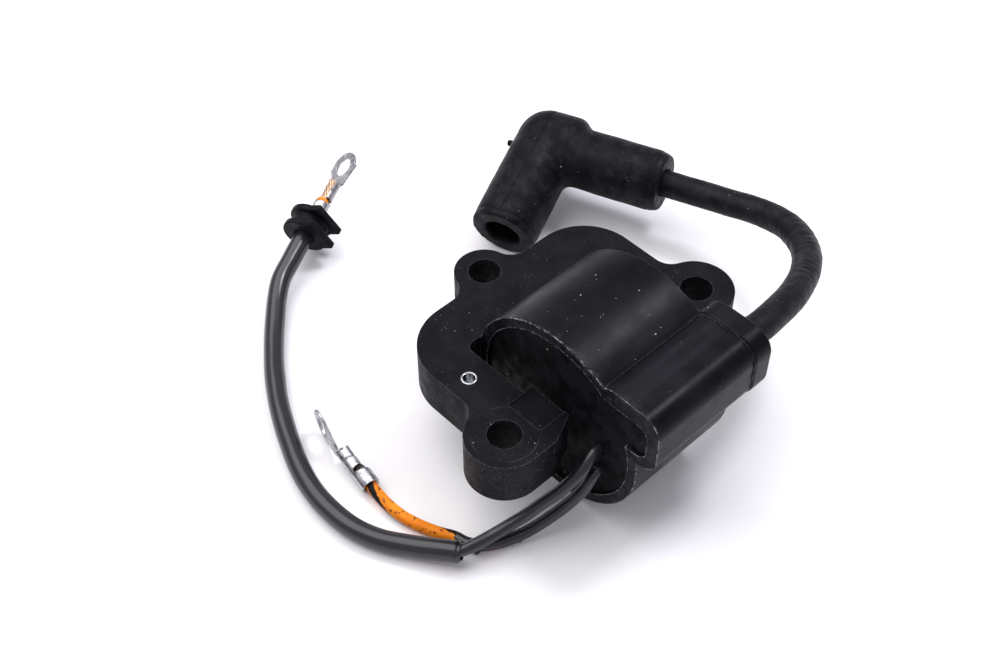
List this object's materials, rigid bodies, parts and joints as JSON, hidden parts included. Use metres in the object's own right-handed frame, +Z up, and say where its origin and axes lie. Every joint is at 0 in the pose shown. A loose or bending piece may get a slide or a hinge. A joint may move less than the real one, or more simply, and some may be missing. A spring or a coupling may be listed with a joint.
{
  "type": "ignition coil",
  "caption": "Small-engine ignition coil: flanged base, potted coil case, plug lead with an elbow boot, and low-tension leads ending in ring terminals.",
  "frame": {"origin": "on the surface that the coil rests on, under the centre of the box of the coil itself, leads left out", "axes": "+X along the coil axis towards the plug lead outlet, +Y towards the top ear of the flange, +Z up, square to the flange"},
  "size_m": [0.139, 0.1427, 0.0495],
  "materials": {
    "moulded_base": "satin moulded black with a fine grain",
    "case_plastic": "satin black moulding, scuffed on the edges",
    "potting_resin": "cast epoxy, mottled",
    "black_rubber": "matte moulded rubber",
    "lead_jacket": "soft satin jacket",
    "gloss_jacket": "glossy vinyl",
    "orange_insulation": "orange vinyl with a black tracer",
    "tinned_terminal": "tin plate",
    "bright_steel": "bright plated",
    "copper_strands": "tinned copper strands",
    "brass": "turned brass",
    "enamelled_copper": "enamelled copper wire",
    "silicon_steel": "oxide-coated sheet",
    "bobbin_nylon": "natural nylon",
    "insulating_paper": "waxed paper"
  },
  "bodies": {
    "root": {"mounting_base": "moulded_base", "locating_eyelet": "bright_steel", "coil_case": "case_plastic", "outlet_cap": "case_plastic", "lead_seal": "black_rubber", "potting_fill": "potting_resin", "core_laminations": "silicon_steel", "primary_bobbin": "bobbin_nylon", "primary_winding": "enamelled_copper", "insulation_wrap": "insulating_paper", "secondary_bobbin": "bobbin_nylon", "secondary_winding": "enamelled_copper", "secondary_tail": "enamelled_copper", "hv_terminal": "brass", "primary_tags": "brass", "plug_lead": "lead_jacket", "lead_pin": "brass", "long_lead": "gloss_jacket", "lead_sleeve": "gloss_jacket", "long_lead_end": "orange_insulation", "ring_terminal_a": "tinned_terminal", "short_lead": "gloss_jacket", "short_lead_wire": "orange_insulation", "short_lead_strands": "copper_strands", "ring_terminal_b": "tinned_terminal"},
    "boot": {"plug_boot": "black_rubber", "boot_contact": "bright_steel"},
    "grommet_body": {"grommet": "black_rubber"}
  },
  "joints": [
    {"name": "boot_swivel", "type": "hinge", "parent": "root", "child": "boot", "pos_m": [0.06486, 0.03053, 0.01772], "axis": [0.3418, -0.9391, 0.0349], "range_deg": [-90, 90]},
    {"name": "grommet_slide", "type": "slide", "parent": "root", "child": "grommet_body", "axis": [-0.8881, -0.4141, -0.1994], "range_m": [0, 0.012]}
  ]
}
